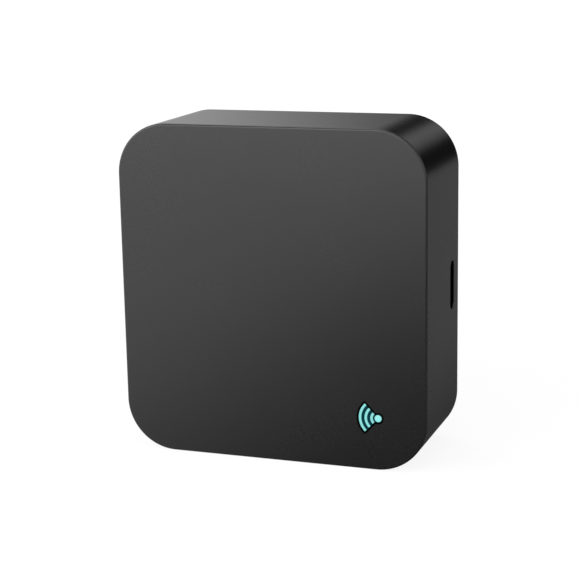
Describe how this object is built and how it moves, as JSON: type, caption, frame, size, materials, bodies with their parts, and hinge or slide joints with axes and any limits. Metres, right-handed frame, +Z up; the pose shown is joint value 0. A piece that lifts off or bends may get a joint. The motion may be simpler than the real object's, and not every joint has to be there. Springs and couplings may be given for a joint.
{
  "type": "smart infrared blaster",
  "caption": "Small rounded-square wireless box with infrared lamps behind its face, a lit signal mark, a charging socket in its side, a recessed reset button and rubber pads.",
  "frame": {"origin": "middle of the lower edge face that it stands on, centred between the two sides and between the face and the back pads", "axes": "+Z up the face, -Y out of the face towards the viewer, +Y out of the back with the pads, +X towards the side with the charging port"},
  "size_m": [0.05, 0.0204, 0.0529],
  "materials": {
    "satin_black": "satin, finely grained",
    "base_black": "matt, spark-eroded grain",
    "pad_rubber": "matt",
    "teal_light": "clear, tinted, lit from inside",
    "board_green": "lacquered",
    "radio_black": "lacquered",
    "screw_steel": "zinc plated",
    "socket_steel": "nickel plated",
    "socket_black": "moulded",
    "contact_gold": "gold plated",
    "can_metal": "drawn, satin",
    "solder": "bright solder",
    "lead_tin": "tinned",
    "lamp_epoxy": "clear epoxy with a violet tint",
    "filter_black": "dark filter epoxy",
    "chip_black": "moulded epoxy",
    "switch_steel": "stamped",
    "plunger_white": "moulded",
    "button_grey": "satin",
    "lamp_white": "clear over phosphor",
    "resistor_black": "glazed",
    "capacitor_tan": "fired"
  },
  "bodies": {
    "housing": {"cover_shell": "satin_black", "base_plate": "base_black", "foot_pad_1": "pad_rubber", "foot_pad_2": "pad_rubber", "foot_pad_3": "pad_rubber", "foot_pad_4": "pad_rubber", "signal_light_guide": "teal_light", "main_board": "board_green", "radio_board": "radio_black", "board_screws": "screw_steel", "usb_shell": "socket_steel", "usb_tongue": "socket_black", "usb_contacts": "contact_gold", "radio_antenna": "contact_gold", "radio_shield": "can_metal", "bulk_capacitor_1": "can_metal", "bulk_capacitor_2": "can_metal", "clock_crystal": "can_metal", "radio_solder": "solder", "solder_joints": "solder", "ir_lamp_leads": "lead_tin", "ir_receiver_leads": "lead_tin", "switch_terminals": "lead_tin", "status_lamp_ends": "lead_tin", "regulator_leads": "lead_tin", "transistor_leads": "lead_tin", "code_chip_leads": "lead_tin", "resistor_ends": "lead_tin", "ceramic_ends": "lead_tin", "ir_lamp_1": "lamp_epoxy", "ir_lamp_2": "lamp_epoxy", "ir_lamp_3": "lamp_epoxy", "ir_lamp_4": "lamp_epoxy", "ir_lamp_5": "lamp_epoxy", "ir_lamp_6": "lamp_epoxy", "ir_lamp_7": "lamp_epoxy", "ir_receiver": "filter_black", "switch_base": "chip_black", "voltage_regulator": "chip_black", "lamp_transistors": "chip_black", "code_chip": "chip_black", "capacitor_seats": "chip_black", "switch_frame": "switch_steel", "switch_dome": "switch_steel", "status_lamp": "lamp_white", "chip_resistors": "resistor_black", "ceramic_capacitors": "capacitor_tan"},
    "button": {"reset_button": "button_grey", "switch_plunger": "plunger_white"}
  },
  "joints": [
    {"name": "reset_press", "type": "slide", "parent": "housing", "child": "button", "axis": [0, -1, 0], "range_m": [0, 0.0003], "stiffness_N_per_m": 2000, "springref_m": -0.0005, "deforming": ["switch_dome"]}
  ]
}
